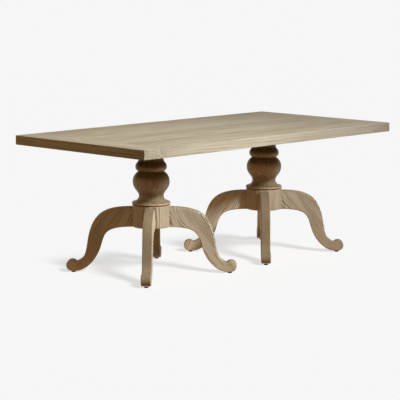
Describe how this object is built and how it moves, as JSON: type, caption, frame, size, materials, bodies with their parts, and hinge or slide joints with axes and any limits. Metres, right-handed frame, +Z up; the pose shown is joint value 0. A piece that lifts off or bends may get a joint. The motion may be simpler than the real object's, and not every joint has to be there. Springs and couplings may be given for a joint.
{
  "type": "double pedestal dining table",
  "caption": "Rectangular dining table: thick breadboard-ended plank top on turned urn pedestals with splayed, scroll-footed legs and screw levelling glides.",
  "frame": {"origin": "on the floor, below the middle of the top", "axes": "+X along the table's length, +Y across it towards the back, +Z up"},
  "size_m": [1.981, 1.016, 0.762],
  "materials": {
    "oak": "weathered, lightly limed, matt",
    "dowel_wood": "plain",
    "steel": "zinc plated",
    "brass": "plain",
    "pad_nylon": "moulded"
  },
  "bodies": {
    "base": {"plank_1": "oak", "plank_2": "oak", "plank_3": "oak", "plank_4": "oak", "plank_5": "oak", "plank_6": "oak", "plank_7": "oak", "breadboard_left": "oak", "breadboard_right": "oak", "cleat_left": "oak", "cleat_right": "oak", "column_left": "oak", "column_right": "oak", "hub_left": "oak", "hub_right": "oak", "hub_cover_left": "oak", "hub_cover_right": "oak", "leg_left_front_outer": "oak", "leg_left_front_inner": "oak", "leg_left_back_inner": "oak", "leg_left_back_outer": "oak", "leg_right_front_outer": "oak", "leg_right_front_inner": "oak", "leg_right_back_inner": "oak", "leg_right_back_outer": "oak", "plank_splines": "dowel_wood", "breadboard_pegs": "dowel_wood", "column_dowels": "dowel_wood", "leg_dowels": "dowel_wood", "top_bolts": "steel", "top_washers": "steel", "tie_rod_left": "steel", "tie_rod_right": "steel", "tie_rod_nuts": "steel", "tie_rod_washers": "steel", "hanger_bolts": "steel", "hanger_washers": "steel", "hanger_nuts": "steel", "cover_screws": "steel", "top_inserts": "brass", "leveller_inserts": "brass"},
    "pad_left_front_outer": {"leveller_pad_left_front_outer": "pad_nylon"},
    "stem_left_front_outer": {"leveller_stem_left_front_outer": "steel"},
    "pad_left_front_inner": {"leveller_pad_left_front_inner": "pad_nylon"},
    "stem_left_front_inner": {"leveller_stem_left_front_inner": "steel"},
    "pad_left_back_inner": {"leveller_pad_left_back_inner": "pad_nylon"},
    "stem_left_back_inner": {"leveller_stem_left_back_inner": "steel"},
    "pad_left_back_outer": {"leveller_pad_left_back_outer": "pad_nylon"},
    "stem_left_back_outer": {"leveller_stem_left_back_outer": "steel"},
    "pad_right_front_outer": {"leveller_pad_right_front_outer": "pad_nylon"},
    "stem_right_front_outer": {"leveller_stem_right_front_outer": "steel"},
    "pad_right_front_inner": {"leveller_pad_right_front_inner": "pad_nylon"},
    "stem_right_front_inner": {"leveller_stem_right_front_inner": "steel"},
    "pad_right_back_inner": {"leveller_pad_right_back_inner": "pad_nylon"},
    "stem_right_back_inner": {"leveller_stem_right_back_inner": "steel"},
    "pad_right_back_outer": {"leveller_pad_right_back_outer": "pad_nylon"},
    "stem_right_back_outer": {"leveller_stem_right_back_outer": "steel"}
  },
  "joints": [
    {"name": "pad_slide_left_front_outer", "type": "slide", "parent": "base", "child": "pad_left_front_outer", "axis": [0, 0, -1], "range_m": [0, 0.01]},
    {"name": "stem_turn_left_front_outer", "type": "hinge", "parent": "pad_left_front_outer", "child": "stem_left_front_outer", "pos_m": [-0.77563, -0.29152, 0.02], "axis": [0, 0, -1], "range_deg": [0, 2880]},
    {"name": "pad_slide_left_front_inner", "type": "slide", "parent": "base", "child": "pad_left_front_inner", "axis": [0, 0, -1], "range_m": [0, 0.01]},
    {"name": "stem_turn_left_front_inner", "type": "hinge", "parent": "pad_left_front_inner", "child": "stem_left_front_inner", "pos_m": [-0.16598, -0.31814, 0.02], "axis": [0, 0, -1], "range_deg": [0, 2880]},
    {"name": "pad_slide_left_back_inner", "type": "slide", "parent": "base", "child": "pad_left_back_inner", "axis": [0, 0, -1], "range_m": [0, 0.01]},
    {"name": "stem_turn_left_back_inner", "type": "hinge", "parent": "pad_left_back_inner", "child": "stem_left_back_inner", "pos_m": [-0.13936, 0.29152, 0.02], "axis": [0, 0, -1], "range_deg": [0, 2880]},
    {"name": "pad_slide_left_back_outer", "type": "slide", "parent": "base", "child": "pad_left_back_outer", "axis": [0, 0, -1], "range_m": [0, 0.01]},
    {"name": "stem_turn_left_back_outer", "type": "hinge", "parent": "pad_left_back_outer", "child": "stem_left_back_outer", "pos_m": [-0.74902, 0.31814, 0.02], "axis": [0, 0, -1], "range_deg": [0, 2880]},
    {"name": "pad_slide_right_front_outer", "type": "slide", "parent": "base", "child": "pad_right_front_outer", "axis": [0, 0, -1], "range_m": [0, 0.01]},
    {"name": "stem_turn_right_front_outer", "type": "hinge", "parent": "pad_right_front_outer", "child": "stem_right_front_outer", "pos_m": [0.75887, -0.30882, 0.02], "axis": [0, 0, -1], "range_deg": [0, 2880]},
    {"name": "pad_slide_right_front_inner", "type": "slide", "parent": "base", "child": "pad_right_front_inner", "axis": [0, 0, -1], "range_m": [0, 0.01]},
    {"name": "stem_turn_right_front_inner", "type": "hinge", "parent": "pad_right_front_inner", "child": "stem_right_front_inner", "pos_m": [0.14868, -0.30137, 0.02], "axis": [0, 0, -1], "range_deg": [0, 2880]},
    {"name": "pad_slide_right_back_inner", "type": "slide", "parent": "base", "child": "pad_right_back_inner", "axis": [0, 0, -1], "range_m": [0, 0.01]},
    {"name": "stem_turn_right_back_inner", "type": "hinge", "parent": "pad_right_back_inner", "child": "stem_right_back_inner", "pos_m": [0.15613, 0.30882, 0.02], "axis": [0, 0, -1], "range_deg": [0, 2880]},
    {"name": "pad_slide_right_back_outer", "type": "slide", "parent": "base", "child": "pad_right_back_outer", "axis": [0, 0, -1], "range_m": [0, 0.01]},
    {"name": "stem_turn_right_back_outer", "type": "hinge", "parent": "pad_right_back_outer", "child": "stem_right_back_outer", "pos_m": [0.76632, 0.30137, 0.02], "axis": [0, 0, -1], "range_deg": [0, 2880]}
  ],
  "couplings": [
    {"joint": "stem_turn_left_front_outer", "follows": "pad_slide_left_front_outer", "rad_per_m": 5026.5},
    {"joint": "stem_turn_left_front_inner", "follows": "pad_slide_left_front_inner", "rad_per_m": 5026.5},
    {"joint": "stem_turn_left_back_inner", "follows": "pad_slide_left_back_inner", "rad_per_m": 5026.5},
    {"joint": "stem_turn_left_back_outer", "follows": "pad_slide_left_back_outer", "rad_per_m": 5026.5},
    {"joint": "stem_turn_right_front_outer", "follows": "pad_slide_right_front_outer", "rad_per_m": 5026.5},
    {"joint": "stem_turn_right_front_inner", "follows": "pad_slide_right_front_inner", "rad_per_m": 5026.5},
    {"joint": "stem_turn_right_back_inner", "follows": "pad_slide_right_back_inner", "rad_per_m": 5026.5},
    {"joint": "stem_turn_right_back_outer", "follows": "pad_slide_right_back_outer", "rad_per_m": 5026.5}
  ]
}
